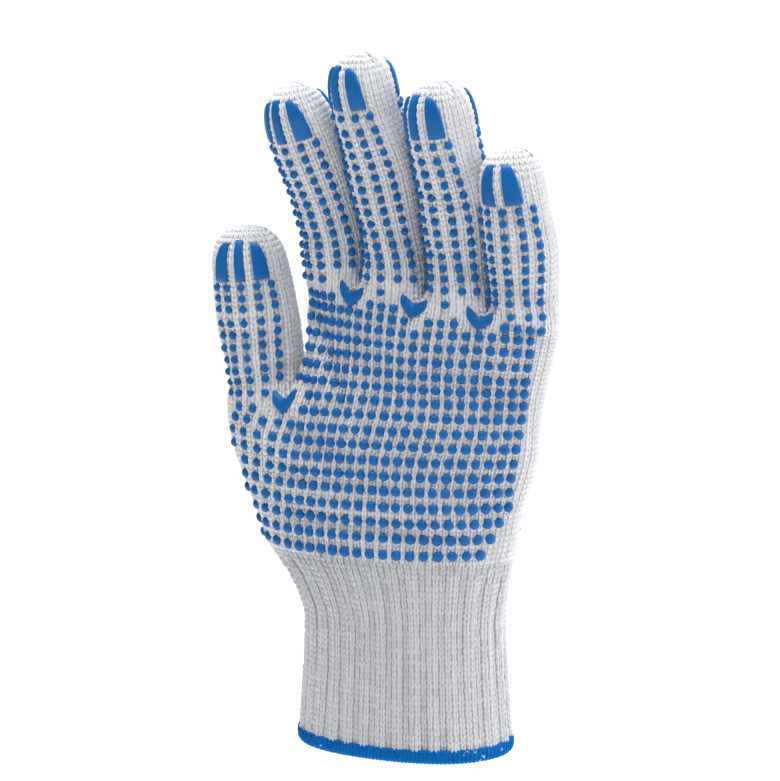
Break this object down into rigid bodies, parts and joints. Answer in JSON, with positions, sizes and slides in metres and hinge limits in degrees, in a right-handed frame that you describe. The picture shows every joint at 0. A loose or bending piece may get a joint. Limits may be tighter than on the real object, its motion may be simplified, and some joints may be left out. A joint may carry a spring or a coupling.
{
  "type": "dotted work glove",
  "caption": "Seamless string-knit work glove in its worn form, with a ribbed cuff, an overlocked hem and soft grip dots and pads printed on the palm and the back",
  "frame": {"origin": "Centre of the mouth of the cuff, on the plane of its lower edge", "axes": "+Z from the mouth to the fingertips, -Y the palm's side, -X the thumb's side"},
  "size_m": [0.127, 0.0573, 0.2438],
  "materials": {
    "cotton_knit": "matte string knit",
    "elastic_rib": "matte ribbed knit",
    "hem_thread": "matte overlocked thread",
    "pvc_print": "satin soft PVC"
  },
  "bodies": {
    "root": {"knit_hand": "cotton_knit", "rib_cuff": "elastic_rib", "overlock_hem": "hem_thread", "thumb_pad_left_palm": "pvc_print", "thumb_pad_stripe_palm": "pvc_print", "thumb_pad_right_palm": "pvc_print", "index_pad_left_palm": "pvc_print", "index_pad_stripe_palm": "pvc_print", "index_pad_right_palm": "pvc_print", "middle_pad_left_palm": "pvc_print", "middle_pad_stripe_palm": "pvc_print", "middle_pad_right_palm": "pvc_print", "ring_pad_left_palm": "pvc_print", "ring_pad_stripe_palm": "pvc_print", "ring_pad_right_palm": "pvc_print", "little_pad_left_palm": "pvc_print", "little_pad_right_palm": "pvc_print", "thumb_pad_left_back": "pvc_print", "thumb_pad_stripe_back": "pvc_print", "thumb_pad_right_back": "pvc_print", "index_pad_left_back": "pvc_print", "index_pad_stripe_back": "pvc_print", "index_pad_right_back": "pvc_print", "middle_pad_left_back": "pvc_print", "middle_pad_stripe_back": "pvc_print", "middle_pad_right_back": "pvc_print", "ring_pad_left_back": "pvc_print", "ring_pad_stripe_back": "pvc_print", "ring_pad_right_back": "pvc_print", "little_pad_left_back": "pvc_print", "little_pad_right_back": "pvc_print", "thumb_fork_patch_palm": "pvc_print", "index_fork_patch_palm": "pvc_print", "middle_fork_patch_palm": "pvc_print", "ring_fork_patch_palm": "pvc_print", "thumb_fork_patch_back": "pvc_print", "index_fork_patch_back": "pvc_print", "middle_fork_patch_back": "pvc_print", "ring_fork_patch_back": "pvc_print"}
  },
  "joints": []
}
